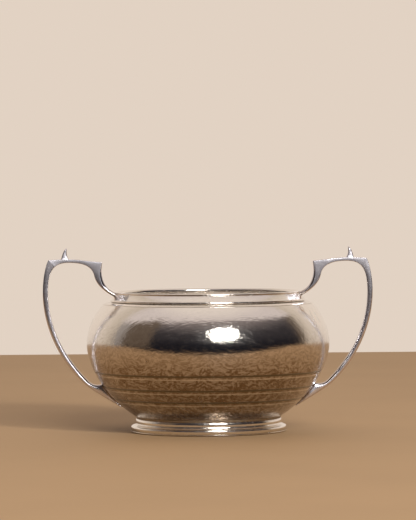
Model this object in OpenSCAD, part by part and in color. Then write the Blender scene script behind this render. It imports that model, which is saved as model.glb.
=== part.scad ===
// Two-handled sugar bowl of hard-soldered silver plate: a spun bowl with a flat shoulder,
// a moulded rim, a stepped hollow foot on a flat wire, and two cast handles with thumb spurs.
// Z is up, the foot stands on z = 0, and the handles lie along X.

/* [Bowl] */
// Largest outside radius of the belly
belly_r = 62.6; // [60:0.1:65]
// Height of the largest radius
belly_z = 46; // [44:0.5:48]
// Outside radius where the flat shoulder turns down into the belly
shoulder_r = 53; // [51.5:0.1:54.5]
// Height of the flat shoulder
shoulder_z = 67; // [66:0.1:68]
// Thickness of the spun sheet
wall = 0.9; // [0.8:0.1:1.2]
// Height of the flat floor's underside above the table
floor_z = 5.2; // [4.6:0.1:5.6]

/* [Engraved lines] */
// Heights of the three engraved line bands
line_heights = [31, 23.5, 17.3];
// Radius of the round-nosed graver that cut them
graver_r = 0.6; // [0.4:0.1:0.8]
// Depth of the cut
line_depth = 0.3; // [0.1:0.05:0.4]

/* [Rim] */
// Outside radius of the neck where it leaves the shoulder
neck_foot_r = 48; // [47.8:0.1:48.2]
// Smallest outside radius of the neck, just below the lip
neck_r = 46.5; // [46.4:0.1:46.8]
// Outside radius of the neck at the lip
lip_r = 46.9; // [46.8:0.1:47.1]
// Largest radius of the collar
collar_r = 50.1; // [49.9:0.1:50.3]
// Height of the top of the lip
rim_z = 72.3; // [72:0.1:72.6]
// Radius of the bead on the lip
bead_r = 0.6; // [0.55:0.05:0.65]

/* [Foot] */
// Radius at which the foot meets the bowl
foot_neck_r = 36.8; // [36:0.1:37.2]
// Height at which the foot meets the bowl
foot_z = 7.5; // [7:0.1:8]
// Radius of the upper step
step_r = 37.7; // [37.5:0.1:38]
// Radius of the base
base_r = 40.2; // [39.5:0.1:41]
// Thickness of the foot's sheet
foot_wall = 0.9; // [0.7:0.1:1]
// Height of the flat wire under the foot
wire_h = 0.9; // [0.7:0.1:1.1]
// Width of the flat wire
wire_w = 2.2; // [1.6:0.1:2.6]

/* [Handles] */
// Distance from the axis to the outermost point of a handle
reach = 85; // [83:0.1:87]
// Height of the top bar
bar_z = 89.1; // [88:0.1:90]
// Height of the tip of the thumb spur
spur_z = 94.9; // [93:0.1:96]
// Half width across the top bar
bar_half = 3; // [2.5:0.1:3.5]
// Half width across the thin lower bow
bow_half = 2.1; // [1.8:0.1:2.5]
// Half width across the leaf that lies on the bowl
leaf_half = 3; // [2.4:0.1:3.6]
// Thickness of the solder in the joints
solder = 0.15; // [0.1:0.01:0.2]

/* [Hidden] */
$fn = 96;

// Points along a cubic curve with end points p[0] and p[3] and pulls p[1] and p[2]
function curve(p, steps) = [
  for (i = [0 : steps])
    let (t = i / steps, s = 1 - t)
      s * s * s * p[0] + 3 * s * s * t * p[1] + 3 * s * t * t * p[2] + t * t * t * p[3]
];
// All of a path but its last point, for joining paths end to end
function but_last(p) = [for (i = [0 : len(p) - 2]) p[i]];
// A path made of several cubic curves
function curves(list, steps) = [for (c = list) each but_last(curve(c, steps))];
// Points along an arc from angle a to angle b
function arc(centre, r, a, b, steps) = [
  for (i = [0 : steps]) let (t = a + (b - a) * i / steps) centre + r * [cos(t), sin(t)]
];
function reverse(p) = [for (i = [len(p) - 1 : -1 : 0]) p[i]];
function unit(v) = v / norm(v);
// Direction of a path at its point i, from the points on either side
function along(p, i) = unit(p[min(i + 1, len(p) - 1)] - p[max(i - 1, 0)]);
// A path moved sideways by d, to the right of its own direction
function beside(p, d) = [for (i = [0 : len(p) - 1]) let (t = along(p, i)) p[i] + d * [t[1], -t[0]]];

// Bowl: the outside line in radius and height, from the lip down to the middle of the floor.
// The neck leans in from the shoulder to just below the lip
neck_z = rim_z - bead_r / 2;
waist = [neck_r, rim_z - 1];
upper_belly = curve([
  [shoulder_r, shoulder_z - 0.1], [shoulder_r + 4.6, shoulder_z - 4.1],
  [belly_r, belly_z + 8], [belly_r, belly_z]
], 14);
lower_belly = curve([
  [belly_r, belly_z], [belly_r, belly_z - 12.5],
  [foot_neck_r + 15.8, foot_z + 9.5], [foot_neck_r, foot_z]
], 22);
under_floor = curve([
  [foot_neck_r, foot_z], [foot_neck_r - 3, foot_z - 2],
  [foot_neck_r - 5, floor_z], [foot_neck_r - 9, floor_z]
], 6);
bowl_line = [
  [lip_r, neck_z], waist, [neck_foot_r, shoulder_z],
  each but_last(upper_belly), each but_last(lower_belly), each under_floor, [0, floor_z]
];
inside_line = [
  [lip_r - wall, neck_z],
  each [for (i = [1 : len(bowl_line) - 2]) beside(bowl_line, wall)[i]],
  [0, floor_z + wall]
];
// Outside radius of the lower belly at height z
function bowl_r(z) = lookup(z, [for (p = lower_belly) [p[1], p[0]]]);

// Rim moulding: a bead on top, a shallow cove that slopes outward, and a round collar at the foot
collar_round = 0.65;
collar_line = [
  [neck_foot_r, shoulder_z], waist, [lip_r, neck_z],
  each arc([lip_r + 0.1, rim_z - bead_r], bead_r, 150, -50, 12),
  each curve([[lip_r + 0.45, rim_z - 1.15], [lip_r + 1.05, rim_z - 2],
    [lip_r + 1.75, rim_z - 2.9], [collar_r - 0.5, rim_z - 3.82]], 6),
  each arc([collar_r - collar_round, shoulder_z + collar_round + 0.15], collar_round, 70, -100, 10),
  [neck_foot_r + 0.3, shoulder_z + 0.3]
];

// Foot: a flange against the bowl's underside, then the outside line of the stepped wall: a round
// step, a groove under it, and a base that widens a little toward the floor
foot_flange = [
  [foot_neck_r - 1.6, foot_z - 0.4], [foot_neck_r - 1, foot_z + 0.5],
  [foot_neck_r + 0.2, foot_z - 0.3], [step_r - 0.45, foot_z - 0.7]
];
foot_line = [
  each curve([[step_r - 0.25, foot_z - 1], [step_r, foot_z - 1.6],
    [step_r + 0.05, foot_z - 2.8], [step_r - 0.5, foot_z - 3.4]], 5),
  each curve([[step_r - 0.3, foot_z - 3.7], [step_r + 1, foot_z - 4.2],
    [base_r - 0.2, foot_z - 4.5], [base_r - 0.15, foot_z - 5.4]], 6),
  [base_r, wire_h - 0.4]
];
foot_inside = [
  [step_r - 0.2 - foot_wall, foot_z - 1.6], [step_r - 0.5 - foot_wall, foot_z - 3],
  [step_r - 0.4 - foot_wall, foot_z - 4.2], [step_r + 0.5 - foot_wall, foot_z - 4.8],
  [base_r - 0.6 - foot_wall, foot_z - 5.2], [base_r - foot_wall, wire_h - 0.4]
];

// Handle outline in the X and Z plane. Outer edge: neck, top bar, spur, corner, bow, leaf
bar_x = reach - 14.8;
corner_x = reach - 3;
neck_top = [54.2, bar_z - 1.5];
waist_z = 72;
tail = [64.5, 25.3];
leaf_tip = [45, 12.5];
crotch = [55.2, 24.4];
outer_edge = [
  [[47.2, 71.5], [53, 73.6], [55.6, 79.2], neck_top],
  [neck_top, neck_top + [5.8, 0.3], [bar_x - 5.2, bar_z - 0.1], [bar_x, bar_z]],
  [[bar_x, bar_z], [bar_x + 2, bar_z + 0.3], [bar_x + 2.5, spur_z - 2.9], [bar_x + 2.6, spur_z]],
  [[bar_x + 3.1, spur_z], [bar_x + 4.7, spur_z - 1.5], [bar_x + 5.5, spur_z - 3.6],
    [bar_x + 5.6, bar_z + 0.3]],
  [[bar_x + 5.6, bar_z + 0.3], [bar_x + 7.6, bar_z + 0.2], [corner_x - 2, bar_z],
    [corner_x, bar_z - 0.3]],
  [[corner_x, bar_z - 0.3], [corner_x + 1.6, bar_z - 3.6], [reach, waist_z + 7], [reach, waist_z]],
  [[reach, waist_z], [reach, waist_z - 18], [reach - 8.5, 36.5], tail],
  [tail, tail - [5, 4.3], [53.5, 18], leaf_tip]
];
// Inner edge, round the finger loop in the same direction
loop_edge = [
  [[47.6, 69.3], [54.6, 73.2], [57.5, 76.5], [58.4, 80.8]],
  [[58.4, 80.8], [59.6, bar_z - 3.3], [bar_x - 5.7, bar_z - 1.7], [bar_x + 1.3, bar_z - 1.7]],
  [[bar_x + 1.3, bar_z - 1.7], [bar_x + 8.8, bar_z - 1.7], [reach - 2.7, waist_z + 12],
    [reach - 2.7, waist_z]],
  [[reach - 2.7, waist_z], [reach - 2.7, waist_z - 18], [reach - 11, 38.6], tail + [-1.7, 1.7]],
  [tail + [-1.7, 1.7], tail + [-4, -0.7], [58.5, 23.6], crotch]
];
// Half width across a handle by height, as seen along X
half_widths = [
  [spur_z + 1, 1], [spur_z - 1, bar_half - 1.1], [bar_z + 1, bar_half - 0.7],
  [bar_z - 2, bar_half], [waist_z, bar_half], [45, bow_half + 0.2], [30, bow_half],
  [24, leaf_half - 0.4], [19, leaf_half], [15, leaf_half - 0.8], [12, 0.8]
];

module half_bowl() { polygon([[0, neck_z], each bowl_line]); }

module collar_section() { polygon(collar_line); }

module foot_section() {
  polygon([each foot_flange, each foot_line, each reverse(foot_inside)]);
}

module bowl_shell() {
  color("gainsboro") rotate_extrude() difference() {
    polygon([each bowl_line, each reverse(inside_line)]);
    for (z = line_heights) translate([bowl_r(z) + graver_r - line_depth, z]) circle(graver_r);
  }
}

module rim_moulding() {
  color("gainsboro") rotate_extrude() difference() {
    collar_section();
    half_bowl();
  }
}

module foot_ring() {
  color("gainsboro") rotate_extrude() difference() {
    foot_section();
    half_bowl();
    translate([base_r - 10, 0]) square([12, wire_h]);
  }
}

module foot_wire() {
  color("lightgray") rotate_extrude() {
    polygon([
      [base_r - wire_w, wire_h], [base_r - wire_w, 0],
      each arc([base_r - 0.6, 0.6], 0.6, -90, 0, 6), [base_r - 0.02, wire_h]
    ]);
  }
}

// Solder fillet under the collar, in the crease on the shoulder
module rim_solder() {
  color("darkgray") rotate_extrude() difference() {
    translate([neck_foot_r - 0.3, shoulder_z - 0.3]) square([collar_r - neck_foot_r - 0.2, 0.8]);
    half_bowl();
    collar_section();
  }
}

// Solder fillet in the crease between the bowl and the foot
module foot_solder() {
  color("darkgray") rotate_extrude() difference() {
    polygon([
      [foot_neck_r - 0.2, foot_z - 0.6], [step_r - 0.45, foot_z - 0.6], [foot_neck_r + 0.9, foot_z + 0.8]
    ]);
    half_bowl();
    foot_section();
  }
}

// Everything within the handle's half width, a little more on each side with grow
module across(grow = 0) {
  rotate([90, 0, 90]) linear_extrude(height = reach + 5) polygon([
    each [for (p = half_widths) [p[1] + grow, p[0]]],
    each reverse([for (p = half_widths) [-p[1] - grow, p[0]]])
  ]);
}

module bowl_envelope(d = 0) { rotate_extrude() translate([d, -d]) half_bowl(); }

module rim_envelope(d = 0) { rotate_extrude() translate([d, 0]) collar_section(); }

module handle() {
  deep = 2 * leaf_half + 2 * bar_half;
  color("lightsteelblue") difference() {
    intersection() {
      rotate([90, 0, 0]) linear_extrude(height = deep, center = true) polygon([
        each curves(outer_edge, 9), leaf_tip, leaf_tip + [-0.4, 1.3], crotch + [-1.4, 0],
        crotch, each reverse(curves(loop_edge, 13))
      ]);
      across();
    }
    bowl_envelope(solder);
    rim_envelope(solder);
  }
}

// Solder between the leaf and the bowl
module tail_solder() {
  color("darkgray") difference() {
    intersection() {
      bowl_envelope(solder);
      across(0.3);
      translate([leaf_tip[0] - 0.5, -5, leaf_tip[1]]) cube([15, 10, 12.3]);
    }
    bowl_envelope();
  }
}

// Solder between the handle's upper end and the rim moulding
module top_solder() {
  half = bar_half + 0.3;
  color("darkgray") difference() {
    intersection() {
      rim_envelope(solder);
      translate([lip_r + 0.4, -half, rim_z - 2.9]) cube([3, 2 * half, 2.35]);
    }
    rim_envelope();
  }
}

module handle_right() { handle(); }
module handle_left() { rotate(180) handle(); }
module handle_right_top_solder() { top_solder(); }
module handle_right_tail_solder() { tail_solder(); }
module handle_left_top_solder() { rotate(180) top_solder(); }
module handle_left_tail_solder() { rotate(180) tail_solder(); }

bowl_shell();
rim_moulding();
foot_ring();
foot_wire();
handle_right();
handle_left();
rim_solder();
foot_solder();
handle_right_top_solder();
handle_right_tail_solder();
handle_left_top_solder();
handle_left_tail_solder();
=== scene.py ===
"""Two-handled silver sugar bowl: the visual model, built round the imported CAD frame.

Lengths are metres in the frame of the CAD model: Z up, the foot on z = 0, the handles along X.
"""

import math

import bpy
import numpy as np
from bpy.props import FloatProperty, FloatVectorProperty, PointerProperty
from mathutils import Matrix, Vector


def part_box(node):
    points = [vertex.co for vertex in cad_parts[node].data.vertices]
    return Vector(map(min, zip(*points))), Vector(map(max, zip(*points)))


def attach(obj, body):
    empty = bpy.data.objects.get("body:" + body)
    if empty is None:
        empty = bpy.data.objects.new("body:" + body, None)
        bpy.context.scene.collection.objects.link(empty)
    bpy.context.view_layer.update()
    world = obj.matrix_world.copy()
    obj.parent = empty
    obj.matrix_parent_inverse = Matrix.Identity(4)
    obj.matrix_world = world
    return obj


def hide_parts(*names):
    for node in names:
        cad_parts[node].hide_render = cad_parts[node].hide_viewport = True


bl_info = {
    "name": "Silver Sugar Bowl",
    "version": (1, 0, 0),
    "blender": (4, 5, 0),
    "location": "View3D > Sidebar > Sugar Bowl",
    "description": "Builds a two-handled silver sugar bowl and the stage it stands on",
    "category": "Add Mesh",
}

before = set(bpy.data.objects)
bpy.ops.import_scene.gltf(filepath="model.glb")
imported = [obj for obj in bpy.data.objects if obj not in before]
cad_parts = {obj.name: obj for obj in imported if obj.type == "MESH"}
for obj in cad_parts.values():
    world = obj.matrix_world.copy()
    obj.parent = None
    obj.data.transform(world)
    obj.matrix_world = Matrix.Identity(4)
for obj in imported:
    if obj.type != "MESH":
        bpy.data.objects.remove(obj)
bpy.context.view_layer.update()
BODY = "root"
MM = 0.001

# Heights of the three engraved lines
GROOVE_HEIGHTS = (31 * MM, 23.5 * MM, 17.3 * MM)
# Heights between which the finish changes from foot to bowl, and from bowl to rim moulding
FOOT_TOP = (7.4 * MM, 7.8 * MM)
COLLAR_FOOT = (66.9 * MM, 67.2 * MM)
# The bowl's v runs from its outside to its inside, and the lip lies between these values
LIP_SHARE = (0.48, 0.49)
# A handle's u runs once round a section, and fract(2 u) is near this value on its flat faces
FACE_MIDDLE = 0.482
FACE_HALF = 0.13
HAZE_ROUGHNESS = 0.26

BOWL_BOX = np.array(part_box("bowl_shell"))
RIM_BOX = np.array(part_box("rim_moulding"))
WIRE_BOX = np.array(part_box("foot_wire"))
HANDLE_BOX = np.array(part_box("handle_right"))


# ---------------------------------------------------------------- settings

def length(name, default, description):
    return FloatProperty(name=name, description=description, default=float(default),
                         min=0.0, unit="LENGTH", precision=5)


def colour(name, default, description):
    return FloatVectorProperty(name=name, description=description, default=default,
                               size=3, min=0.0, max=1.0, subtype="COLOR")


def factor(name, default, description):
    return FloatProperty(name=name, description=description, default=default,
                         min=0.0, max=1.0, subtype="FACTOR")


class BowlSizes(bpy.types.PropertyGroup):
    """Sizes of the spun bowl, its rim and its foot."""
    belly_radius: length("Belly radius", BOWL_BOX[1][0], "Largest outside radius of the bowl")
    belly_height: length("Belly height", 46 * MM, "Height of the largest radius")
    shoulder_radius: length("Shoulder radius", 53 * MM, "Radius where the flat shoulder ends")
    shoulder_height: length("Shoulder height", 67 * MM, "Height of the flat shoulder")
    neck_foot_radius: length("Neck foot radius", 48 * MM, "Neck radius at the shoulder")
    waist_radius: length("Waist radius", 46.5 * MM, "Smallest radius of the neck, below the lip")
    lip_radius: length("Lip radius", 46.9 * MM, "Outside radius of the neck at the lip")
    neck_height: length("Neck height", BOWL_BOX[1][2], "Height of the top of the neck")
    sheet: length("Sheet", 0.9 * MM, "Thickness of the spun sheet")
    floor_height: length("Floor height", BOWL_BOX[0][2], "Height of the floor's underside")
    groove_depth: length("Groove depth", 0.24 * MM, "Depth of the engraved lines")
    groove_width: length("Groove width", 0.55 * MM, "Half width of the engraved lines")
    collar_radius: length("Collar radius", RIM_BOX[1][0], "Largest radius of the rim moulding")
    rim_height: length("Rim height", RIM_BOX[1][2], "Height of the top of the lip")
    bead_radius: length("Bead radius", 0.6 * MM, "Radius of the bead on the lip")
    collar_round: length("Collar round", 0.65 * MM, "Radius of the collar's round edge")
    foot_neck_radius: length("Foot neck radius", 36.8 * MM, "Radius where foot and bowl meet")
    foot_height: length("Foot height", 7.5 * MM, "Height where foot and bowl meet")
    step_radius: length("Step radius", 37.7 * MM, "Radius of the foot's upper step")
    base_radius: length("Base radius", WIRE_BOX[1][0], "Radius of the foot's base")
    foot_sheet: length("Foot sheet", 0.9 * MM, "Thickness of the foot's sheet")
    wire_height: length("Wire height", WIRE_BOX[1][2], "Height of the flat wire under the foot")
    wire_width: length("Wire width", 2.2 * MM, "Width of the flat wire under the foot")


class HandleSizes(bpy.types.PropertyGroup):
    """Sizes of the cast handles."""
    reach: length("Reach", HANDLE_BOX[1][0], "Distance from the axis to the handle's outside")
    bar_height: length("Bar height", 89.1 * MM, "Height of the top bar")
    spur_height: length("Spur height", HANDLE_BOX[1][2], "Height of the spur's tip")
    bar_half: length("Bar half width", HANDLE_BOX[1][1], "Half width across the top bar")
    bow_half: length("Bow half width", 2.1 * MM, "Half width across the lower bow")
    leaf_half: length("Leaf half width", 3 * MM, "Half width across the leaf on the bowl")


class SilverFinish(bpy.types.PropertyGroup):
    """Colours and polish of the metal."""
    plate: colour("Plate", (0.93, 0.90, 0.865), "Colour of the polished silver plate")
    # Painted reflection: besides faint polishing swirls everywhere, this dark brown darkens the
    # lower belly, standing in for the brown floor it reflects and the shade under the bowl.
    swirl: colour("Swirl marks", (0.22, 0.142, 0.070), "Colour of the worn swirl marks low down")
    tarnish: colour("Tarnish", (0.42, 0.31, 0.20), "Colour of the tarnish in creases")
    # Painted shade: this colour darkens the upper side of each engraved line, for the shade it
    # reflects, and the bottom of the foot wire, as a painted contact shadow.
    line: colour("Engraved lines", (0.16, 0.12, 0.06), "Colour of the dirt in engraved lines")
    casting: colour("Casting", (0.87, 0.86, 0.96), "Colour of the cast handles")
    solder: colour("Solder", (0.36, 0.31, 0.25), "Colour of the hard solder")
    plate_roughness: factor("Plate roughness", 0.035, "Roughness of the polished plate")
    casting_roughness: factor("Casting roughness", 0.35, "Roughness of the cast handles")
    scratch_strength: factor("Scratches", 0.8, "How deep the fine scratches look")


class StageLook(bpy.types.PropertyGroup):
    """Colours and lights of the stage."""
    floor: colour("Floor", (0.40, 0.258, 0.138), "Colour of the pale floor")
    wall: colour("Wall", (0.76, 0.645, 0.546), "Colour of the pale background")
    window_power: FloatProperty(name="Window power", description="Power of the window light",
                                default=85.0, min=0.0, unit="POWER")
    side_power: FloatProperty(name="Side power", description="Power of the light that casts the "
                              "soft shadow", default=150.0, min=0.0, unit="POWER")


# ---------------------------------------------------------------- curves

def cubic(points, t):
    """Cubic curve: (1-t)^3 p0 + 3(1-t)^2 t p1 + 3(1-t)t^2 p2 + t^3 p3, for an array t."""
    p = np.asarray(points, dtype=float)
    t = np.asarray(t, dtype=float)[:, None]
    s = 1.0 - t
    return s**3 * p[0] + 3 * s**2 * t * p[1] + 3 * s * t**2 * p[2] + t**3 * p[3]


def steps(count):
    """The values 0 to 1 in even steps, without the last, so that curves join end to end."""
    return np.linspace(0.0, 1.0, count, endpoint=False)


def softened(before, corner, after, reach, count=8):
    """A corner rounded by the curve (1-t)^2 a + 2(1-t)t c + t^2 b between points near it."""
    before, corner, after = (np.asarray(p, dtype=float) for p in (before, corner, after))
    a = corner + reach * (before - corner) / np.linalg.norm(before - corner)
    b = corner + reach * (after - corner) / np.linalg.norm(after - corner)
    t = np.linspace(0.0, 1.0, count)[:, None]
    return (1 - t)**2 * a + 2 * (1 - t) * t * corner + t**2 * b


def arc(centre, radius, start, end, count=12):
    """Points centre + radius (cos a, sin a), with a from start to end degrees."""
    a = np.radians(np.linspace(start, end, count))
    return np.asarray(centre) + radius * np.stack([np.cos(a), np.sin(a)], axis=1)


def line_directions(line):
    """Unit direction of a line at each of its points, from the points on either side."""
    d = np.gradient(line, axis=0)
    return d / np.linalg.norm(d, axis=1, keepdims=True)


def beside(line, distance):
    """A line moved by distance to the left of its own direction."""
    d = line_directions(line)
    return line + distance * np.stack([-d[:, 1], d[:, 0]], axis=1)


# ---------------------------------------------------------------- meshes

def mesh_piece(name, points, faces, uvs, sharp_angle=None):
    """A mesh object at the origin from point rows, arrays of faces and one uv per corner."""
    mesh = bpy.data.meshes.new(name)
    rows = [row for block in faces for row in block.tolist()]
    mesh.from_pydata(points.tolist(), [], rows)
    layer = mesh.uv_layers.new(name="surface")
    layer.uv.foreach_set("vector", np.asarray(uvs, dtype=np.float32).ravel())
    mesh.polygons.foreach_set("use_smooth", np.ones(len(mesh.polygons), dtype=bool))
    if sharp_angle is not None:
        mesh.set_sharp_from_angle(angle=math.radians(sharp_angle))
    mesh.update()
    piece = bpy.data.objects.new(name, mesh)
    bpy.context.scene.collection.objects.link(piece)
    return piece


def grid_faces(columns, v, closed):
    """Quads and uvs on a grid whose columns close round, with v the value of each row.

    A grid that is closed along its rows too has one value more than it has rows.
    """
    rows = len(v) - 1 if closed else len(v)
    i, j = np.meshgrid(np.arange(len(v) - 1), np.arange(columns), indexing="ij")
    i, j = i.ravel(), j.ravel()
    corners = [(i, j), (i, j + 1), (i + 1, j + 1), (i + 1, j)]
    quads = np.stack([(a % rows) * columns + b % columns for a, b in corners], axis=1)
    uvs = np.stack([np.stack([b / columns, v[a]], axis=1) for a, b in corners], axis=1)
    return quads, uvs


def lathe(name, line, turns=192, closed=True):
    """Surface of revolution of a line of (radius, height) rows, going anticlockwise round metal.

    Point (i, j) is (r_i cos a_j, r_i sin a_j, z_i) with a_j = 2 pi j / turns. A closed line makes
    a ring. An open line starts and ends on the axis, where one point closes each pole. The uv
    map holds the share of a turn, and the share of the line's whole length.
    """
    a = 2 * np.pi * np.arange(turns) / turns
    ring = line if closed else line[1:-1]
    r, z = ring[:, :1], ring[:, 1:]
    points = np.stack([r * np.cos(a), r * np.sin(a), z + 0 * a], axis=2).reshape(-1, 3)
    loop = np.concatenate([line, line[:1]]) if closed else line
    v = np.concatenate([[0.0], np.cumsum(np.linalg.norm(np.diff(loop, axis=0), axis=1))])
    v = v / v[-1]
    quads, uvs = grid_faces(turns, v if closed else v[1:-1], closed)
    faces, corner_uvs = [quads], [uvs.reshape(-1, 2)]
    if not closed:
        j = np.arange(turns)
        j2 = (j + 1) % turns
        first, last = len(points), len(points) + 1
        top = (len(ring) - 1) * turns
        poles = np.array([[0, 0, line[0, 1]], [0, 0, line[-1, 1]]])
        points = np.concatenate([points, poles])
        faces.append(np.stack([np.full(turns, first), j2, j], axis=1))
        faces.append(np.stack([top + j, top + j2, np.full(turns, last)], axis=1))
        u, u2, mid = j / turns, (j + 1) / turns, (j + 0.5) / turns
        low, high = np.full(turns, v[1]), np.full(turns, v[-2])
        corner_uvs.append(np.stack([mid, 0 * u, u2, low, u, low], axis=1).reshape(-1, 2))
        corner_uvs.append(np.stack([u, high, u2, high, mid, 0 * u + 1], axis=1).reshape(-1, 2))
    return mesh_piece(name, points, faces, np.concatenate(corner_uvs))


def capped_tube(rings):
    """Points and faces of a tube through closed rings (n, m, 3), with a point closing each end."""
    n, m, _ = rings.shape
    quads, uvs = grid_faces(m, np.linspace(0.0, 1.0, n), False)
    points = np.concatenate([rings.reshape(-1, 3), rings[[0, -1]].mean(axis=1)])
    j = np.arange(m)
    j2 = (j + 1) % m
    base = (n - 1) * m
    start = np.stack([np.full(m, n * m), j2, j], axis=1)
    end = np.stack([base + j, base + j2, np.full(m, n * m + 1)], axis=1)
    cap_uvs = np.zeros((6 * m, 2))
    cap_uvs[:, 0] = np.repeat(j / m, 6)
    cap_uvs[3 * m:, 1] = 1.0
    return points, [quads, start, end], np.concatenate([uvs.reshape(-1, 2), cap_uvs])


def joined(parts):
    """Several (points, faces, uvs) sets as one."""
    points, faces, uvs, start = [], [], [], 0
    for part_points, part_faces, part_uvs in parts:
        points.append(part_points)
        uvs.append(part_uvs)
        faces += [block + start for block in part_faces]
        start += len(part_points)
    return np.concatenate(points), faces, np.concatenate(uvs)


def turned(points):
    """Points turned half round the Z axis: (x, y, z) becomes (-x, -y, z)."""
    return points * np.array([-1.0, -1.0, 1.0])


# ---------------------------------------------------------------- shader maths

class Value:
    """A node socket that Python arithmetic can be written with: each operator adds a Math node."""

    def __init__(self, graph, socket):
        self.graph = graph
        self.socket = socket

    def _math(self, operation, *inputs):
        return self.graph.node("ShaderNodeMath", {"operation": operation}, *inputs)

    def __add__(self, other):
        return self._math("ADD", self, other)

    def __sub__(self, other):
        return self._math("SUBTRACT", self, other)

    def __rsub__(self, other):
        return self._math("SUBTRACT", other, self)

    def __mul__(self, other):
        return self._math("MULTIPLY", self, other)

    def __truediv__(self, other):
        return self._math("DIVIDE", self, other)

    def __pow__(self, other):
        return self._math("POWER", self, other)

    __radd__ = __add__
    __rmul__ = __mul__

    def absolute(self):
        return self._math("ABSOLUTE", self)

    def largest(self, other):
        """The larger of this and other."""
        return self._math("MAXIMUM", self, other)

    def above(self, low, high):
        """0 below low, 1 above high, and a smooth step between."""
        settings = {"interpolation_type": "SMOOTHSTEP"}
        return self.graph.node("ShaderNodeMapRange", settings, self, low, high, 0.0, 1.0)

    def near(self, middle, inner, outer):
        """1 within inner of the middle, 0 beyond outer of it, and a smooth step between."""
        return 1.0 - (self - middle).absolute().above(inner, outer)


class Graph:
    """A node tree under construction."""

    def __init__(self, tree):
        self.tree = tree
        tree.nodes.clear()

    def node(self, kind, settings, *inputs, output=0, **named):
        """Add a node: settings first, then the values or links of its sockets."""
        node = self.tree.nodes.new(kind)
        for key, value in settings.items():
            setattr(node, key, value)
        sockets = [s for s in node.inputs if s.enabled]
        pairs = list(zip(sockets, inputs))
        pairs += [(node.inputs[key.replace("_", " ")], value) for key, value in named.items()]
        for socket, value in pairs:
            if isinstance(value, Value):
                self.tree.links.new(value.socket, socket)
            elif value is not None:
                socket.default_value = value
        self.last = node
        enabled = [s for s in node.outputs if s.enabled]
        return Value(self, enabled[output]) if enabled else None

    def coordinates(self, name="Object"):
        """The object's own coordinates, or another set of them by its name."""
        node = self.tree.nodes.new("ShaderNodeTexCoord")
        return Value(self, node.outputs[name])

    def stretched(self, vector, scale, turn=(0.0, 0.0, 0.0)):
        """Coordinates turned by angles in degrees and then scaled."""
        turned_vector = self.node("ShaderNodeMapping", {"vector_type": "POINT"}, vector,
                                  None, [math.radians(a) for a in turn])
        return self.node("ShaderNodeVectorMath", {"operation": "MULTIPLY"}, turned_vector, scale)

    def noise(self, vector, scale, detail=3.0, roughness=0.5):
        return self.node("ShaderNodeTexNoise", {}, vector, Scale=scale, Detail=detail,
                         Roughness=roughness)

    def mix(self, amount, first, second):
        """Colour mix of first and second by amount."""
        node = self.tree.nodes.new("ShaderNodeMix")
        node.data_type = "RGBA"
        for socket, value in ((node.inputs[0], amount), (node.inputs[6], first),
                              (node.inputs[7], second)):
            if isinstance(value, Value):
                self.tree.links.new(value.socket, socket)
            else:
                socket.default_value = value
        return Value(self, node.outputs[2])

    def split(self, vector):
        """The x, y and z values of a vector."""
        self.node("ShaderNodeSeparateXYZ", {}, vector)
        return [Value(self, s) for s in self.last.outputs]


def rgba(values):
    return (*values, 1.0)


def new_material(name):
    """A new material and the empty graph to build it in."""
    material = bpy.data.materials.new(name)
    material.use_nodes = True
    return material, Graph(material.node_tree)


def metal(graph, base, roughness, height, distance, strength=1.0, haze=0.0):
    """Finish a metal: colour, roughness, a bump from a height value, and a soft haze over it."""
    bump = graph.node("ShaderNodeBump", {}, Strength=strength, Distance=distance, Height=height)
    shader = graph.node("ShaderNodeBsdfPrincipled", {}, Base_Color=base, Metallic=1.0,
                        Roughness=roughness, Normal=bump, Coat_Weight=haze,
                        Coat_Roughness=HAZE_ROUGHNESS)
    graph.node("ShaderNodeOutputMaterial", {}, shader)


def hairlines(graph, vector, spacing, width, gate_size, gate, angles):
    """Fine scratches: for each angle, thin ridges where stretched noise crosses its middle value.

    ridge = max(0, 1 - |n - 1/2| / width), kept only where a coarser noise is above the gate.
    """
    total = 0.0
    for k, angle in enumerate(angles):
        along = graph.stretched(vector, (spacing, spacing * 0.04, spacing * 0.04),
                                (37.0 * k + 11.0, angle, 23.0 * k + 5.0))
        line = graph.noise(along, 1.0, 0.0)
        ridge = (1.0 - (line - 0.5).absolute() / width).largest(0.0)
        shifted = graph.stretched(vector, (1.0, 1.0, 1.0), (61.0 * k, angle + 30.0, 0.0))
        total = total + ridge * graph.noise(shifted, gate_size, 1.0).above(gate, gate + 0.05)
    return total


def swirled(graph, vector, amount, scale):
    """Coordinates bent by noise: each is moved by amount times a noise of the given scale."""
    bend = graph.node("ShaderNodeTexNoise", {}, vector, Scale=scale, Detail=2.0, output=1)
    middle = graph.node("ShaderNodeVectorMath", {"operation": "SUBTRACT"}, bend, (0.5, 0.5, 0.5))
    move = graph.node("ShaderNodeVectorMath", {"operation": "SCALE"}, middle, Scale=amount)
    return graph.node("ShaderNodeVectorMath", {"operation": "ADD"}, vector, move)


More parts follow.
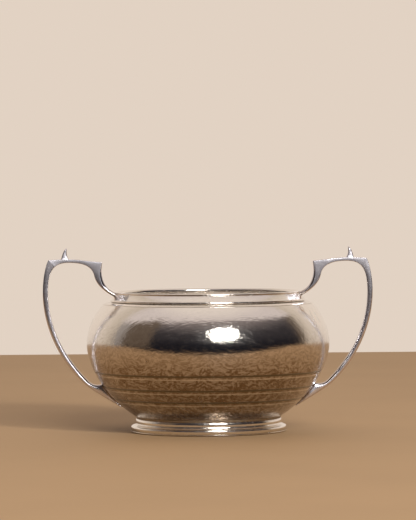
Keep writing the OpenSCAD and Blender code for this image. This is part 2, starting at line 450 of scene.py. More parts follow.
def scratched_silver(finish):
    """Mirror-polished plate: scratches, polishing swirls, tarnish in the creases, painted shade
    along the engraved lines and under the foot, and a painted reflection darkening the lower belly.
    """
    material, g = new_material("scratched_silver")
    place = g.coordinates()
    height = g.split(place)[2]
    bent = swirled(g, place, 0.006, 60.0)
    fine = hairlines(g, bent, spacing=900.0, width=0.14, gate_size=300.0, gate=0.44,
                     angles=(10.0, 48.0, 85.0, 124.0, 160.0))
    long = hairlines(g, place, spacing=130.0, width=0.014, gate_size=55.0, gate=0.64,
                     angles=(25.0, 72.0, 140.0))
    scratches = fine * 0.8 + long * 1.8
    clouds = g.noise(place, 70.0, 4.0, 0.6)
    outside = 1.0 - g.split(g.coordinates("UV"))[1].above(*LIP_SHARE)
    # Painted shade: the upper side of each engraved line is darkened with the engraved-line colour,
    # standing in for the shade under the bowl that it reflects.
    lines = sum(height.near(z + 0.2 * MM, 0.32 * MM, 0.68 * MM) for z in GROOVE_HEIGHTS)
    lines = lines * (0.75 + clouds * 0.5) * outside
    # Painted highlight: a band 1.4 mm below each engraved line eases the painted darkening of the
    # lower belly, standing in for the light the line's lower side reflects; it also eases the worn
    # roughness and bumps there.
    rubbed = sum(height.near(z - 1.4 * MM, 0.15 * MM, 0.5 * MM) for z in GROOVE_HEIGHTS)
    strokes = g.stretched(swirled(g, place, 0.012, 90.0), (1.0, 1.0, 2.6), (0.0, 0.0, 35.0))
    curls = g.noise(strokes, 340.0, 5.0, 0.8)
    above_foot = height.above(*FOOT_TOP)
    # Painted reflection and shade: the lower belly grows darker and browner towards the foot,
    # standing in for the brown floor it reflects and the shade under the bowl; the same mask adds
    # worn roughness and curled bumps.
    wear_and_painted_reflection = (1.0 - height.above(22 * MM, 60 * MM)) * above_foot * outside
    wear_and_painted_reflection = wear_and_painted_reflection * (0.62 + curls.above(0.42, 0.58) * 0.66) * (1.0 - rubbed * 0.55)
    mouldings = 1.0 - above_foot + height.above(*COLLAR_FOOT)
    near_foot = height.near(7.5 * MM, 0.2 * MM, 1.4 * MM)
    # Painted contact shadow: the bottom of the foot wire, below 0.3 to 0.6 mm, is darkened with the
    # engraved-line colour.
    painted_contact_shadow = 1.0 - height.above(0.3 * MM, 0.6 * MM)
    near_collar = height.near(67.1 * MM, 0.1 * MM, 0.7 * MM)
    stain = (near_foot * 0.7 + near_collar * 0.5) * clouds.above(0.3, 0.6)
    tone = g.mix(curls.above(0.45, 0.8) * 0.10, rgba(finish.plate), rgba(finish.swirl))
    tone = g.mix(wear_and_painted_reflection, tone, rgba(finish.swirl))
    tone = g.mix(stain * 0.6, tone, rgba(finish.tarnish))
    tone = g.mix(lines.largest(painted_contact_shadow * 0.9), tone, rgba(finish.line))
    roughness = (finish.plate_roughness + clouds.above(0.4, 0.8) * 0.02 + wear_and_painted_reflection * 0.10
                 + mouldings * 0.07 + fine * 0.05 + long * 0.3 + (stain + lines) * 0.2)
    surface = scratches * -1.0 + clouds * 0.2 + curls * wear_and_painted_reflection * 3.0
    metal(g, tone, roughness, surface, distance=0.015 * MM, strength=finish.scratch_strength,
          haze=1.0)
    return material


def pitted_casting(finish):
    """Polished casting: fine even grain, small pits, and stripes rubbed along the bow."""
    material, g = new_material("pitted_casting")
    place = g.coordinates()
    x, y, z = g.split(place)
    radius = (x * x + y * y) ** 0.5
    grain = g.noise(place, 1700.0, 3.0, 0.6)
    soft = g.noise(place, 330.0, 2.0, 0.5)
    pits = g.noise(place, 2100.0, 2.0, 0.5).above(0.66, 0.76)
    across = g.split(g.coordinates("UV"))[0] * 2.0
    across = g.node("ShaderNodeMath", {"operation": "FRACT"}, across)
    face = across.near(FACE_MIDDLE, FACE_HALF, FACE_HALF + 0.03)
    bow = 1.0 - z.above(78 * MM, 87 * MM)
    rubbed = g.noise(g.stretched(g.coordinates("UV"), (70.0, 3.0, 1.0)), 1.0, 3.0, 0.6)
    crease = (1.0 - radius.above(48.5 * MM, 54 * MM)) * z.above(60 * MM, 66 * MM)
    tone = g.mix(soft.above(0.35, 0.7) * 0.35, rgba(finish.casting),
                 rgba([c * 0.82 for c in finish.casting]))
    tone = g.mix(rubbed.above(0.52, 0.70) * bow * 0.35, tone,
                 rgba([c * 0.55 for c in finish.casting]))
    tone = g.mix(pits * 0.5, tone, rgba([c * 0.35 for c in finish.casting]))
    tone = g.mix(crease * 0.6, tone, rgba(finish.tarnish))
    tone = g.mix((1.0 - face) * 0.25, tone, rgba([c * 0.6 for c in finish.casting]))
    satin = finish.casting_roughness - bow * 0.08 + grain.above(0.35, 0.7) * 0.08
    roughness = satin * (0.35 + face * 0.65) + pits * 0.2
    height = grain * 0.35 + soft * 0.3 - pits + rubbed * bow * 1.2
    metal(g, tone, roughness, height, distance=0.03 * MM, strength=0.5, haze=0.3)
    return material


def dull_solder(finish):
    """Dull grey solder, mottled darker where flux and tarnish stay in the crease."""
    material, g = new_material("dull_solder")
    place = g.coordinates()
    lumps = g.noise(place, 900.0, 4.0, 0.6)
    tone = g.mix(lumps.above(0.35, 0.65), rgba(finish.solder), rgba(finish.tarnish))
    metal(g, tone, 0.42 + lumps * 0.2, lumps, distance=0.08 * MM, strength=0.6)
    return material


FINISHES = {"spun_silver": scratched_silver, "cast_silver": pitted_casting,
            "hard_solder": dull_solder}


def finish_piece(piece, slot, node):
    """Give a piece its slot's material, made on first use, and the place of its CAD node."""
    make = FINISHES[slot]
    material = bpy.data.materials.get(make.__name__) or make(bpy.context.scene.silver_finish)
    piece.data.materials.append(material)
    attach(piece, BODY)
    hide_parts(node)


# ---------------------------------------------------------------- the bowl's lines

def bowl_outline(bowl):
    """Outside line of the bowl from the middle of the floor up to the lip.

    Flat floor, cubic curve to the foot, cubic lower belly, cubic upper belly, softened shoulder
    and neck corners, and a straight flaring neck.
    """
    neck, foot = bowl.foot_neck_radius, bowl.foot_height
    belly_r, belly_z = bowl.belly_radius, bowl.belly_height
    under, shelf = bowl.floor_height, bowl.shoulder_height
    floor_edge = (neck - 9 * MM, under)
    floor = np.stack([np.linspace(0.0, floor_edge[0], 8, endpoint=False),
                      np.full(8, under)], axis=1)
    rise = cubic([floor_edge, (neck - 5 * MM, under), (neck - 3 * MM, foot - 2 * MM),
                  (neck, foot)], steps(16))
    lower = cubic([(neck, foot), (neck + 15.8 * MM, foot + 9.5 * MM),
                   (belly_r, belly_z - 12.5 * MM), (belly_r, belly_z)], steps(240))
    shoulder = (bowl.shoulder_radius, shelf - 0.1 * MM)
    upper = cubic([(belly_r, belly_z), (belly_r, belly_z + 8 * MM),
                   (bowl.shoulder_radius + 4.6 * MM, shelf - 4.1 * MM), shoulder],
                  np.linspace(0.0, 0.93, 44))
    corner = (bowl.neck_foot_radius, shelf)
    waist = (bowl.waist_radius, bowl.rim_height - 1 * MM)
    lip = (bowl.lip_radius, bowl.neck_height)
    inner_lip = (bowl.lip_radius - bowl.sheet, bowl.neck_height)
    return np.concatenate([
        floor, rise, lower, upper,
        softened(upper[-1], shoulder, corner, 1.5 * MM, 12),
        softened(shoulder, corner, waist, 0.5 * MM, 6),
        softened(corner, waist, lip, 0.3 * MM, 6),
        softened(waist, lip, inner_lip, 0.15 * MM, 4)])


def engraved(line, bowl):
    """The bowl's outside line with each engraved line cut in: depth exp(-(z - z0)^2 / w^2)."""
    z = line[:, 1]
    outside = line[:, 0] > bowl.foot_neck_radius
    cut = sum(np.exp(-((z - z0) / bowl.groove_width)**2) for z0 in GROOVE_HEIGHTS)
    lift = sum(np.exp(-((z - z0) / (2.4 * bowl.groove_width))**2) for z0 in GROOVE_HEIGHTS)
    return beside(line, np.where(outside, bowl.groove_depth * (cut - 0.18 * lift), 0.0)[:, None])


def rim_line(bowl):
    """Outside line of the rim moulding, from the lip down: bead, sloping cove, round collar."""
    bead = (bowl.lip_radius + 0.1 * MM, bowl.rim_height - bowl.bead_radius)
    nose = bowl.collar_round
    collar = (bowl.collar_radius - nose, bowl.shoulder_height + nose + 0.15 * MM)
    top = arc(bead, bowl.bead_radius, 195, -50, 34)
    end = arc(collar, nose, 70, 70, 1)[0]
    cove = cubic([top[-1], (bowl.lip_radius + 1.05 * MM, bowl.rim_height - 2 * MM),
                  (bowl.lip_radius + 1.75 * MM, bowl.rim_height - 2.9 * MM), end], steps(24)[1:])
    edge = arc(collar, nose, 70, -105, 26)
    return np.concatenate([top, cove, edge])


def foot_line(bowl):
    """Outside line of the foot, down from the bowl: round step, groove, shoulder, flared base."""
    foot, step, base = bowl.foot_height, bowl.step_radius, bowl.base_radius
    neck = bowl.foot_neck_radius
    start = np.array([[neck - 0.6 * MM, foot - 0.3 * MM]])
    ledge = cubic([(neck + 0.1 * MM, foot - 0.35 * MM),
                   (step - 0.6 * MM, foot - 0.4 * MM), (step - 0.35 * MM, foot - 0.75 * MM),
                   (step - 0.25 * MM, foot - 1 * MM)], steps(12))
    bulge = cubic([(step - 0.25 * MM, foot - 1 * MM), (step, foot - 1.6 * MM),
                   (step + 0.05 * MM, foot - 2.8 * MM), (step - 0.5 * MM, foot - 3.4 * MM)],
                  np.linspace(0.0, 0.93, 24))
    groove = softened(bulge[-1], (step - 0.55 * MM, foot - 3.55 * MM),
                      (step + 0.4 * MM, foot - 3.9 * MM), 0.2 * MM, 8)
    shoulder = cubic([groove[-1], (step + 1.4 * MM, foot - 4.1 * MM),
                      (base - 0.3 * MM, foot - 4.2 * MM), (base - 0.2 * MM, foot - 4.9 * MM)],
                     steps(30)[1:])
    low = np.array([[base - 0.19 * MM, foot - 5 * MM], [base - 0.02 * MM, bowl.wire_height]])
    return np.concatenate([start, ledge, bulge, groove, shoulder, low])


def foot_inside(bowl):
    """Inside line of the foot, from the flange down to the flat wire."""
    foot = bowl.foot_height
    step, base = bowl.step_radius - bowl.foot_sheet, bowl.base_radius - bowl.foot_sheet
    return np.array([[bowl.foot_neck_radius - 1.8 * MM, foot - 0.75 * MM],
                     [step - 0.3 * MM, foot - 1.6 * MM], [step - 0.5 * MM, foot - 3 * MM],
                     [step - 0.4 * MM, foot - 4 * MM], [step, foot - 4.5 * MM],
                     [step + 0.6 * MM, foot - 4.75 * MM], [base - 0.8 * MM, foot - 5.05 * MM],
                     [base - 0.4 * MM, foot - 5.4 * MM], [base, bowl.wire_height]])


# ---------------------------------------------------------------- pieces

class MESH_OT_sugar_bowl_shell(bpy.types.Operator):
    """Build the spun bowl with its engraved lines"""
    bl_idname = "mesh.sugar_bowl_shell"
    bl_label = "Bowl Shell"

    def execute(self, context):
        bowl = context.scene.bowl_sizes
        outline = bowl_outline(bowl)
        inside = beside(outline[::4], bowl.sheet)[::-1]
        inside = inside[inside[:, 1] < bowl.neck_height - 0.2 * MM]
        inner_lip = bowl.lip_radius - bowl.sheet
        lip = np.array([[inner_lip + 0.2 * MM, bowl.neck_height],
                        [inner_lip, bowl.neck_height - 0.2 * MM]])
        inside[-1, 0] = 0.0
        line = np.concatenate([engraved(outline, bowl), lip, inside])
        finish_piece(lathe("bowl", line, 180, closed=False), "spun_silver", "bowl_shell")
        return {"FINISHED"}


class MESH_OT_sugar_bowl_rim(bpy.types.Operator):
    """Build the rim moulding and the solder in the crease under it"""
    bl_idname = "mesh.sugar_bowl_rim"
    bl_label = "Rim Moulding"

    def execute(self, context):
        bowl = context.scene.bowl_sizes
        outline = rim_line(bowl)
        neck, z = bowl.neck_foot_radius, bowl.shoulder_height
        back = np.array([[neck + 0.3 * MM, z + 0.3 * MM], [neck + 0.02 * MM, z + 0.05 * MM],
                         [bowl.waist_radius + 0.02 * MM, bowl.rim_height - 1 * MM]])
        rim = lathe("rim", np.concatenate([outline, back])[::-1], 192)
        finish_piece(rim, "spun_silver", "rim_moulding")
        edge = bowl.collar_radius - bowl.collar_round
        fillet = np.array([[neck + 0.2 * MM, z - 0.2 * MM],
                           [edge + 0.1 * MM, z - 0.2 * MM], [edge + 0.32 * MM, z + 0.01 * MM],
                           [edge + 0.1 * MM, z + 0.08 * MM], [edge, z + 0.25 * MM],
                           [neck + 0.2 * MM, z + 0.4 * MM]])
        finish_piece(lathe("rim_seam", fillet, 160), "hard_solder", "rim_solder")
        return {"FINISHED"}


class MESH_OT_sugar_bowl_foot(bpy.types.Operator):
    """Build the stepped foot, the flat wire under it and the solder above it"""
    bl_idname = "mesh.sugar_bowl_foot"
    bl_label = "Foot"

    def execute(self, context):
        bowl = context.scene.bowl_sizes
        outline = np.concatenate([foot_line(bowl), foot_inside(bowl)[::-1]])
        finish_piece(lathe("foot", outline[::-1], 192), "spun_silver", "foot_ring")
        nose = 0.6 * MM
        edge, top = bowl.base_radius, bowl.wire_height
        low = arc((edge - nose, nose), nose, -90, 0, 9)
        high = softened((edge, nose), (edge - 0.02 * MM, top), (edge - MM, top), 0.06 * MM, 4)
        inner = bowl.base_radius - bowl.wire_width
        back = np.concatenate([
            softened((edge, top), (inner, top), (inner, 0), 0.2 * MM, 5),
            softened((inner, top), (inner, 0), (edge, 0), 0.2 * MM, 5)])
        wire = lathe("foot_rim", np.concatenate([low, high, back]), 192)
        finish_piece(wire, "spun_silver", "foot_wire")
        neck, z = bowl.foot_neck_radius, bowl.foot_height
        fillet = np.array([[neck - 0.3 * MM, z - 0.45 * MM], [neck + 0.45 * MM, z - 0.55 * MM],
                           [neck + 0.4 * MM, z - 0.28 * MM], [neck + 0.48 * MM, z + 0.1 * MM],
                           [neck + 0.75 * MM, z + 0.47 * MM], [neck - 0.1 * MM, z + 0.25 * MM]])
        finish_piece(lathe("foot_seam", fillet, 160), "hard_solder", "foot_solder")
        return {"FINISHED"}


SPUR_INSET = 14.8 * MM


def handle_edges(handle, bowl_side):
    """The handle's two edge lines in X and Z, as cubic curves in the same order.

    The outer line runs over the neck, top bar, corner, bow and leaf, and the loop line runs round
    the finger loop and then along the bowl under the leaf.
    """
    reach, bar_z = handle.reach, handle.bar_height
    bar_x = reach - SPUR_INSET
    corner = (reach - 3 * MM, bar_z - 0.3 * MM)
    neck_top = (54.2 * MM, bar_z - 1.5 * MM)
    waist = 72 * MM
    tail = (64.5 * MM, 25.3 * MM)
    tail_in = (62.8 * MM, 27 * MM)
    crotch = (55.2 * MM, 24.4 * MM)
    tip = (45 * MM, 12.5 * MM)
    outer = [
        # up the neck from inside the rim
        [(47 * MM, 71.42 * MM), (53 * MM, 73.6 * MM), (55.6 * MM, 79.2 * MM), neck_top],
        # the top bar, to the spur and on to the corner
        [neck_top, (60 * MM, bar_z - 1.2 * MM), (bar_x - 5.2 * MM, bar_z - 0.1 * MM),
         (bar_x, bar_z)],
        [(bar_x, bar_z), (bar_x + 3 * MM, bar_z + 0.1 * MM), (corner[0] - 4 * MM, bar_z + 0.1 * MM),
         corner],
        # the upper and the lower bow
        [corner, (corner[0] + 1.6 * MM, bar_z - 3.6 * MM), (reach, waist + 7 * MM),
         (reach, waist)],
        [(reach, waist), (reach, waist - 18 * MM), (reach - 8.5 * MM, 36.5 * MM), tail],
        # the leaf on the bowl
        [tail, (59.5 * MM, 21 * MM), (53.5 * MM, 18 * MM), tip],
    ]
    under = bar_z - 1.7 * MM
    bow_in = reach - 2.7 * MM
    neck_in = (58.4 * MM, 80.8 * MM)
    loop = [
        # under the neck
        [(47.4 * MM, 69.2 * MM), (54.6 * MM, 73.2 * MM), (57.5 * MM, 76.5 * MM), neck_in],
        # under the bar, in two curves
        [neck_in, (59.6 * MM, bar_z - 3.3 * MM), (bar_x - 5.7 * MM, under),
         (bar_x + 1.3 * MM, under)],
        [(bar_x + 1.3 * MM, under), (bar_x + 8.8 * MM, under), (bow_in, waist + 12 * MM),
         (bow_in, waist)],
        # inside the bow, and down to where the loop meets the bowl
        [(bow_in, waist), (bow_in, waist - 18 * MM), (reach - 11 * MM, 38.6 * MM), tail_in],
        [tail_in, (60.5 * MM, 24.6 * MM), (58.5 * MM, 23.6 * MM), crotch],
    ]
    z = np.linspace(crotch[1], tip[1] + 1.1 * MM, 40)
    bowl_r = np.interp(z, bowl_side[:, 1], bowl_side[:, 0]) - 0.15 * MM
    return outer, loop, np.stack([bowl_r, z], axis=1)


def along_curves(curves, where, last_line=None):
    """Points on a chain of curves: where 2.3 is curve 2 at t = 0.3. A last line may follow."""
    where = np.asarray(where)
    out = np.zeros((len(where), 2))
    for k, points in enumerate(curves):
        here = (where >= k) & ((where < k + 1) | (k == len(curves) - 1))
        out[here] = cubic(points, where[here] - k)
    if last_line is not None:
        here = where > len(curves)
        t = (where[here] - len(curves)) * (len(last_line) - 1)
        index = np.arange(len(last_line))
        out[here] = np.stack([np.interp(t, index, last_line[:, c]) for c in (0, 1)], axis=1)
    return out


def half_width(handle, z):
    """Half width across a handle at height z, as straight stretches between named heights."""
    heights = np.array([12, 15, 19, 24, 30, 45, 72, 87.1, 90.1]) * MM
    leaf, bow, bar = handle.leaf_half, handle.bow_half, handle.bar_half
    widths = np.array([0.8 * MM, leaf - 0.8 * MM, leaf, leaf - 0.4 * MM, bow, bow + 0.2 * MM,
                       bar, bar, bar - 0.7 * MM])
    return np.interp(z, heights, widths)


def rounded_sections(middle, reach, width, radius, crown, count=11):
    """Rings round a bar: rounded rectangles with corner arcs of the given radius.

    middle (n, 2) is each section's middle in X and Z, reach (n, 2) goes from it to the outer edge,
    width (n) is the half width in Y, radius (n, 2) the corner radius at the outer and the inner
    edge, and crown (n) bulges the flat faces: y is multiplied by 1 - crown s^2, with s from -1 to
    1 between the edges.
    """
    half = np.linalg.norm(reach, axis=1)
    direction = reach / half[:, None]
    r_edges = np.minimum(radius, 0.98 * half[:, None])
    r_sides = np.minimum(radius, 0.98 * width[:, None])
    a = np.radians(np.linspace(0, 90, count))
    rings = []
    flats = np.linspace(-0.7, 0.7, 5)
    for quarter, (sx, sy) in enumerate(((1, 1), (-1, 1), (-1, -1), (1, -1))):
        turn = (np.cos(a), np.sin(a)) if quarter % 2 == 0 else (np.sin(a), np.cos(a))
        inner = 0 if sx > 0 else 1
        r_edge, r_side = r_edges[:, inner], r_sides[:, inner]
        x = sx * ((half - r_edge)[:, None] + r_edge[:, None] * turn[0])
        y = sy * ((width - r_side)[:, None] + r_side[:, None] * turn[1])
        rings.append(np.stack([x, y], axis=2))
        if quarter % 2 == 0:
            start, end = half - r_edge, half - r_edges[:, 1 - inner]
            x = -sx * ((end - start)[:, None] / 2 + (start + end)[:, None] / 2 * flats)
            y = sy * width[:, None] + 0 * flats
            rings.append(np.stack([x, y], axis=2))
    ring = np.concatenate(rings, axis=1)
    x, y = ring[:, :, 0], ring[:, :, 1]
    y = y * (1 - crown[:, None] * (x / half[:, None])**2)
    points = middle[:, None, :] + direction[:, None, :] * x[:, :, None]
    return np.stack([points[:, :, 0], y, points[:, :, 1]], axis=2)


def spur(handle):
    """The thumb spur: rings at rising heights between a hollow inner and a rounded outer flank."""
    x, z = handle.reach - SPUR_INSET, handle.bar_height
    top, half = handle.spur_height, handle.bar_half
    t = np.concatenate([steps(26), [1.0]])
    inner = cubic([(x + 0.2 * MM, z - 0.5 * MM), (x + 2.3 * MM, z + 0.2 * MM),
                   (x + 2.5 * MM, top - 2.7 * MM), (x + 2.2 * MM, top - 0.2 * MM)], t)
    outer = cubic([(x + 5.4 * MM, z - 0.5 * MM), (x + 4.7 * MM, top - 3.6 * MM),
                   (x + 4.3 * MM, top - 1.4 * MM), (x + 2.65 * MM, top - 0.05 * MM)], t)
    middle, reach = (inner + outer) / 2, (outer - inner) / 2
    width = np.interp(middle[:, 1], [z - 0.5 * MM, z + 0.6 * MM, top - 1.2 * MM, top],
                      [half - 0.45 * MM, half - 0.7 * MM, half - 1 * MM, 1.2 * MM])
    width[-1] *= 0.7
    reach[-1] *= 0.6
    radius = np.full((len(t), 2), 0.7 * MM)
    return rounded_sections(middle, reach, width, radius, np.full(len(t), 0.04))[::-1]


def handle_rings(handle, bowl_side):
    """Sections along the whole handle, from inside the rim to the tip of the leaf.

    Each section joins a point of the outer line to the facing point of the loop line: knots and
    loop_knots give the places on the two lines that face each other.
    """
    outer, loop, under_leaf = handle_edges(handle, bowl_side)
    knots = np.array([0, 1, 2, 3, 4, 5, 5.5, 6])
    loop_knots = np.array([0, 1.15, 1.93, 2.42, 3, 4, 5, 6])
    near = 0.012 * np.array([-1, -0.5, 0, 0.5, 1])
    where = np.unique(np.concatenate([np.linspace(0, 6, 331), 1 + near, 3 + near]))
    outside = along_curves(outer, where)
    outside = rounded_corner(rounded_corner(outside, where, 1.0), where, 3.0)
    inside = along_curves(loop, np.interp(where, knots, loop_knots), under_leaf)
    middle, reach = (outside + inside) / 2, (outside - inside) / 2
    width = half_width(handle, middle[:, 1])
    thin = np.interp(where, [5.8, 6.0], [1.0, 0.6])
    outer_round = np.interp(where, [0, 0.3, 0.8, 1, 2, 3, 3.6, 4, 5, 5.4, 6],
                            [1.1, 1.4, 1.2, 0.3, 0.2, 0.2, 0.2, 0.4, 0.9, 0.8, 0.4]) * MM
    inner_round = np.interp(where, [0, 0.6, 1, 3, 3.6, 4, 5, 5.4, 6],
                            [0.6, 0.3, 0.2, 0.2, 0.2, 0.3, 0.8, 0.8, 0.4]) * MM
    radius = np.stack([outer_round, inner_round], axis=1)
    crown = np.interp(where, [0, 1, 3, 4, 4.5, 5, 6], [0.10, 0.02, 0.02, 0.07, 0.20, 0.26, 0.15])
    return rounded_sections(middle, reach, width * thin, radius, crown)


def rounded_corner(line, where, knot, reach=0.05):
    """A line whose corner c at a knot is eased by the curve (1-t)^2 a + 2(1-t)t c + t^2 b."""
    near = np.abs(where - knot) < reach
    first, last = line[near][0], line[near][-1]
    t = ((where[near] - knot) / reach + 1)[:, None] / 2
    corner = line[np.argmin(np.abs(where - knot))]
    out = line.copy()
    out[near] = (1 - t)**2 * first + 2 * (1 - t) * t * corner + t**2 * last
    return out


def mound(line, half, thickness, sink=0.2 * MM, count=15):
    """A low mound of solder on a turned surface, along a line of (radius, height) rows.

    Across it v runs from -1 to 1: y = v half, x = sqrt(r^2 - y^2), and the top stands off the
    surface by thickness (1 - v^4)(1 - u^8), with u from -1 to 1 along it. The back is sunk in.
    """
    n = len(line)
    u = np.linspace(-1, 1, n)[:, None]
    v = np.linspace(-1, 1, count)[None, :]
    d = line_directions(line)
    normal = np.stack([d[:, 1], -d[:, 0]], axis=1)
    y = v * np.broadcast_to(np.asarray(half, dtype=float).reshape(-1, 1), (n, 1))
    sheets = []
    for lift in (thickness * (1 - v**4) * (1 - u**8), np.full((n, count), -sink)):
        r = line[:, :1] + lift * normal[:, :1]
        z = line[:, 1:] + lift * normal[:, 1:]
        sheets.append(np.stack([np.sqrt(r**2 - y**2), y, z], axis=2))
    rings = np.concatenate([sheets[0], sheets[1][:, ::-1]], axis=1)
    return capped_tube(rings[:, ::-1])


class MESH_OT_sugar_bowl_handles(bpy.types.Operator):
    """Build both cast handles and the solder that joins them to the bowl"""
    bl_idname = "mesh.sugar_bowl_handles"
    bl_label = "Handles"

    def execute(self, context):
        bowl = context.scene.bowl_sizes
        handle = context.scene.handle_sizes
        outline = bowl_outline(bowl)
        side = outline[(outline[:, 0] > bowl.foot_neck_radius) & (outline[:, 1] < bowl.belly_height)]
        cast = joined([capped_tube(handle_rings(handle, side)), capped_tube(spur(handle))])
        z = np.linspace(12.1, 24.9, 40) * MM
        leaf_line = np.stack([np.interp(z, side[:, 1], side[:, 0]), z], axis=1)
        tail = mound(leaf_line, half_width(handle, z) + 0.45 * MM, 0.3 * MM)
        rim = rim_line(bowl)[::-1]
        low, high = bowl.rim_height - 2.75 * MM, bowl.rim_height - 0.6 * MM
        seat = rim[(rim[:, 1] > low) & (rim[:, 1] < high) & (rim[:, 0] > bowl.lip_radius)]
        top = mound(seat, np.full(len(seat), handle.bar_half + 0.1 * MM), 0.1 * MM, 0.3 * MM)
        for name, turn in (("right", False), ("left", True)):
            for label, shape, slot, node in (
                    ("handle", cast, "cast_silver", f"handle_{name}"),
                    ("top_joint", top, "hard_solder", f"handle_{name}_top_solder"),
                    ("tail_joint", tail, "hard_solder", f"handle_{name}_tail_solder")):
                points, faces, uvs = shape
                placed = turned(points) if turn else points
                finish_piece(mesh_piece(f"{label}_{name}", placed, faces, uvs, 50.0), slot, node)
        return {"FINISHED"}


# ---------------------------------------------------------------- stage

CAMERA_DISTANCE = 1.650
CAMERA_HEIGHT = 0.126
CAMERA_SIDE = 0.0003
CAMERA_PITCH = math.radians(1.31)
CAMERA_ROLL = math.radians(-0.45)
CAMERA_LENS = 221.5
FLOOR_FRONT = -0.198
FLOOR_BACK = 0.77
FLOOR_SIDE = 1.6
FLOOR_NEAR = -1.3
LIGHT_TINT = (1.0, 0.96, 0.9)
LIGHT_AIM = 0.045


def floor_material(look):
    """Plain pale floor with a very faint mottle."""
    material, g = new_material("pale_floor")
    mottle = g.noise(g.coordinates(), 9.0, 3.0)
    tone = g.mix(mottle.above(0.3, 0.7), rgba(look.floor), rgba([c * 0.96 for c in look.floor]))
    shader = g.node("ShaderNodeBsdfPrincipled", {}, Base_Color=tone, Roughness=0.75)
    g.node("ShaderNodeOutputMaterial", {}, shader)
    return material


def flat_piece(name, x0, x1, y0, y1):
    """A level rectangle on z = 0."""
    mesh = bpy.data.meshes.new(name)
    mesh.from_pydata([(x0, y0, 0), (x1, y0, 0), (x1, y1, 0), (x0, y1, 0)], [], [(0, 1, 2, 3)])
    piece = bpy.data.objects.new(name, mesh)
    bpy.context.scene.collection.objects.link(piece)
    return piece


def studio_world(look):
    """Plain pale wall to the camera, and a room round it that only the metal and floor see.

    The room is pale at the back, and its dark end behind the camera has a pale ceiling, a brown
    wall with a paler strip on the left, and a brown strip on the right.
    """
    world = bpy.data.worlds.new("studio")
    world.use_nodes = True
    bpy.context.scene.world = world
    g = Graph(world.node_tree)
    x, y, z = g.split(g.coordinates("Generated"))
    # x, y and z are the direction looked in: x to the right, y away from the camera, z up
    left = (x * -0.65 + y).above(-0.015, 0.015)
    edge = (1.0 - left) * (0.64 - y * 0.27 + x * 0.04) + left * (0.60 - y * 0.46)
    ceiling = (z - edge).above(-0.02, 0.02)
    behind = (y - x.above(0.0, 0.5) * 0.06).above(0.16, 0.28)
    # the dark end, paler toward its top
    room = g.mix(z.above(0.0, 0.45), (0.010, 0.010, 0.014, 1.0), (0.036, 0.031, 0.033, 1.0))
    room = g.mix(z.above(0.45, 0.85), room, (0.22, 0.18, 0.168, 1.0))
    # the wall and the strip on the left, and the strip on the right
    room = g.mix(left * z.above(-0.2, 0.1), room, (0.12, 0.086, 0.062, 1.0))
    room = g.mix(left * y.above(-0.04, 0.05), room, (0.30, 0.26, 0.235, 1.0))
    room = g.mix(x.above(0.6, 0.7) * y.above(0.09, 0.16), room, (0.12, 0.085, 0.06, 1.0))
    # the ceiling, and the pale back of the room
    roof = g.mix(z.above(0.80, 1.0), (0.63, 0.54, 0.50, 1.0), (0.76, 0.66, 0.58, 1.0))
    room = g.mix(ceiling, room, roof)
    pale = g.mix(y.above(0.2, 0.75), (0.52, 0.43, 0.34, 1.0), rgba(look.wall))
    seen = g.mix(behind, room, pale)
    lit = g.node("ShaderNodeBackground", {}, seen, 1.0)
    wall = g.node("ShaderNodeBackground", {}, rgba(look.wall), 1.0)
    g.node("ShaderNodeLightPath", {})
    camera_ray = Value(g, g.last.outputs["Is Camera Ray"])
    both = g.node("ShaderNodeMixShader", {}, camera_ray, lit, wall)
    g.node("ShaderNodeOutputWorld", {}, both)


def soft_light(name, azimuth, elevation, distance, size, power):
    """An area light aimed at the bowl, from azimuth and elevation in degrees from the front."""
    a, e = math.radians(azimuth), math.radians(elevation)
    data = bpy.data.lights.new(name, "AREA")
    data.shape = "ELLIPSE"
    data.size = size
    data.size_y = size
    data.energy = power
    data.color = LIGHT_TINT
    light = bpy.data.objects.new(name, data)
    light.location = (distance * math.cos(e) * math.sin(a),
                      -distance * math.cos(e) * math.cos(a),
                      LIGHT_AIM + distance * math.sin(e))
    light.rotation_euler = (math.pi / 2 - e, 0.0, a)
    bpy.context.scene.collection.objects.link(light)
    return light


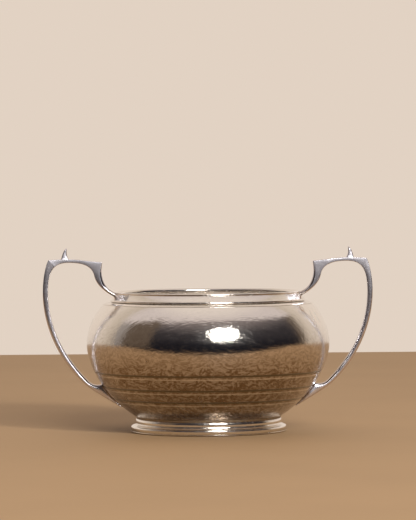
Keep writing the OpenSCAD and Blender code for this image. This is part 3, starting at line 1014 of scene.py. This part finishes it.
class SCENE_OT_sugar_bowl_stage(bpy.types.Operator):
    """Build the pale floor, the studio light and the camera"""
    bl_idname = "scene.sugar_bowl_stage"
    bl_label = "Stage"

    def execute(self, context):
        look = context.scene.stage_look
        material = floor_material(look)
        top = flat_piece("floor", -FLOOR_SIDE, FLOOR_SIDE, FLOOR_FRONT, FLOOR_BACK)
        front = flat_piece("floor_front", -FLOOR_SIDE, FLOOR_SIDE, FLOOR_NEAR, FLOOR_FRONT)
        front.visible_glossy = False
        for piece in (top, front):
            piece.data.materials.append(material)
        studio_world(look)
        soft_light("window", azimuth=16.0, elevation=28.0, distance=4.0, size=1.56,
                   power=look.window_power)
        side = soft_light("side", azimuth=36.0, elevation=18.0, distance=4.0, size=0.5,
                          power=look.side_power)
        side.visible_glossy = False
        data = bpy.data.cameras.new("camera")
        data.lens = CAMERA_LENS
        data.clip_start = 0.05
        data.clip_end = 20.0
        camera = bpy.data.objects.new("camera", data)
        camera.location = (CAMERA_SIDE, -CAMERA_DISTANCE, CAMERA_HEIGHT)
        aim = Matrix.Rotation(math.pi / 2 - CAMERA_PITCH, 3, "X")
        camera.rotation_euler = (aim @ Matrix.Rotation(CAMERA_ROLL, 3, "Z")).to_euler()
        context.scene.collection.objects.link(camera)
        context.scene.camera = camera
        context.scene.view_settings.view_transform = "Standard"
        return {"FINISHED"}


# ---------------------------------------------------------------- sidebar and registration

OPERATORS = (MESH_OT_sugar_bowl_shell, MESH_OT_sugar_bowl_rim, MESH_OT_sugar_bowl_foot,
             MESH_OT_sugar_bowl_handles, SCENE_OT_sugar_bowl_stage)
GROUPS = (("bowl_sizes", BowlSizes), ("handle_sizes", HandleSizes),
          ("silver_finish", SilverFinish), ("stage_look", StageLook))


class VIEW3D_PT_sugar_bowl(bpy.types.Panel):
    """Sidebar panel with the sizes, the finish and one button for each piece"""
    bl_label = "Sugar Bowl"
    bl_idname = "VIEW3D_PT_sugar_bowl"
    bl_space_type = "VIEW_3D"
    bl_region_type = "UI"
    bl_category = "Sugar Bowl"

    def draw(self, context):
        for operator in OPERATORS:
            self.layout.operator(operator.bl_idname)
        for name, group in GROUPS:
            box = self.layout.box()
            for key in group.__annotations__:
                box.prop(getattr(context.scene, name), key)


def register():
    for name, group in GROUPS:
        bpy.utils.register_class(group)
        setattr(bpy.types.Scene, name, PointerProperty(type=group))
    for cls in (*OPERATORS, VIEW3D_PT_sugar_bowl):
        bpy.utils.register_class(cls)


def unregister():
    for cls in (VIEW3D_PT_sugar_bowl, *reversed(OPERATORS)):
        bpy.utils.unregister_class(cls)
    for name, group in reversed(GROUPS):
        delattr(bpy.types.Scene, name)
        bpy.utils.unregister_class(group)


def main():
    register()
    bpy.ops.mesh.sugar_bowl_shell()
    bpy.ops.mesh.sugar_bowl_rim()
    bpy.ops.mesh.sugar_bowl_foot()
    bpy.ops.mesh.sugar_bowl_handles()
    bpy.ops.scene.sugar_bowl_stage()


if __name__ == "__main__":
    main()
